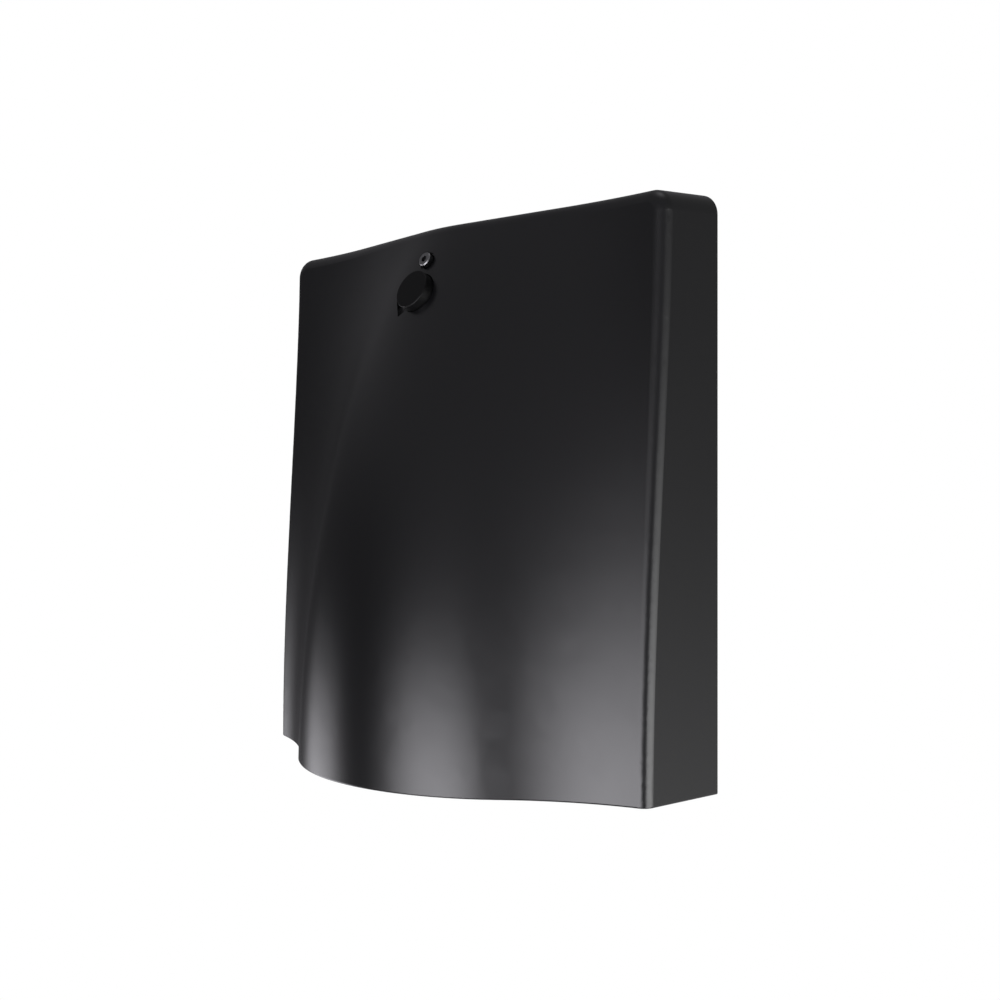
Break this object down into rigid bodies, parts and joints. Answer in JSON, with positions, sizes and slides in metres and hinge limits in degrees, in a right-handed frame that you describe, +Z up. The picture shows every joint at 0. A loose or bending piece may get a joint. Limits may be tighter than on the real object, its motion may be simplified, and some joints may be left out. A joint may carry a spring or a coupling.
{
  "type": "outdoor emergency light",
  "caption": "Wall-mounted outdoor emergency light with a black waved cover that hinges down, a lens in the underside, a test button and a captive screw.",
  "frame": {"origin": "centre of the four wall screw holes, on the wall plane", "axes": "+X to the right seen from the front, +Y into the wall, +Z up"},
  "size_m": [0.2, 0.0791, 0.2014],
  "materials": {
    "cover_coat": "die casting with a satin black coat",
    "plate_coat": "die casting with a black coat",
    "button_black": "moulded, fine satin",
    "seal_rubber": "moulded silicone",
    "steel": "stainless, machined",
    "brass": "turned",
    "lens_clear": "clear moulded",
    "bracket_metal": "extruded and bent, plain",
    "board_white": "metal core board, white mask",
    "led_yellow": "phosphor in a white package",
    "board_green": "solder mask",
    "sheet_film": "insulating film",
    "core_dark": "ferrite with a taped winding",
    "can_sleeve": "can with a shrunk sleeve",
    "relay_case": "moulded",
    "terminal_case": "moulded",
    "socket_case": "moulded",
    "holder_black": "moulded",
    "cell_wrap": "steel can with a shrunk wrap",
    "lead_sleeve": "soft insulation"
  },
  "bodies": {
    "base": {"back_plate": "plate_coat", "switch_bracket": "plate_coat", "wall_gasket": "seal_rubber", "cover_gasket": "seal_rubber", "cable_grommet": "seal_rubber", "hinge_pins": "steel", "bracket_screws": "steel", "led_screws": "steel", "board_screws": "steel", "strap_screws": "steel", "battery_straps": "steel", "screw_insert": "brass", "board_standoffs": "brass", "earth_screw": "brass", "optic_plate": "lens_clear", "led_bracket": "bracket_metal", "led_board": "board_white", "leds": "led_yellow", "driver_board": "board_green", "switch_board": "board_green", "insulating_sheet": "sheet_film", "transformer": "core_dark", "choke": "core_dark", "capacitors": "can_sleeve", "relay": "relay_case", "terminal_block": "terminal_case", "led_socket": "socket_case", "battery_socket": "socket_case", "switch_socket": "socket_case", "battery_holder": "holder_black", "test_switch": "holder_black", "battery_cells": "cell_wrap", "battery_leads": "lead_sleeve", "led_leads": "lead_sleeve", "switch_leads": "lead_sleeve"},
    "cover": {"front_cover": "cover_coat", "lens": "lens_clear", "lens_gasket": "seal_rubber", "lens_retainer": "steel", "lens_screws": "steel", "button_boot": "seal_rubber"},
    "screw": {"cover_screw": "steel", "screw_ring": "steel"},
    "button": {"test_button": "button_black", "button_clip": "steel"}
  },
  "joints": [
    {"name": "cover_hinge", "type": "hinge", "parent": "base", "child": "cover", "pos_m": [0, -0.0065, -0.0975], "axis": [1, 0, 0], "range_deg": [0, 90]},
    {"name": "screw_slide", "type": "slide", "parent": "cover", "child": "screw", "axis": [0, -0.9313, 0.3641], "range_m": [0, 0.008]},
    {"name": "button_press", "type": "slide", "parent": "cover", "child": "button", "axis": [0, 0.9313, -0.3641], "range_m": [0, 0.0015], "stiffness_N_per_m": 1500, "springref_m": -0.0006, "deforming": ["button_boot"]}
  ]
}
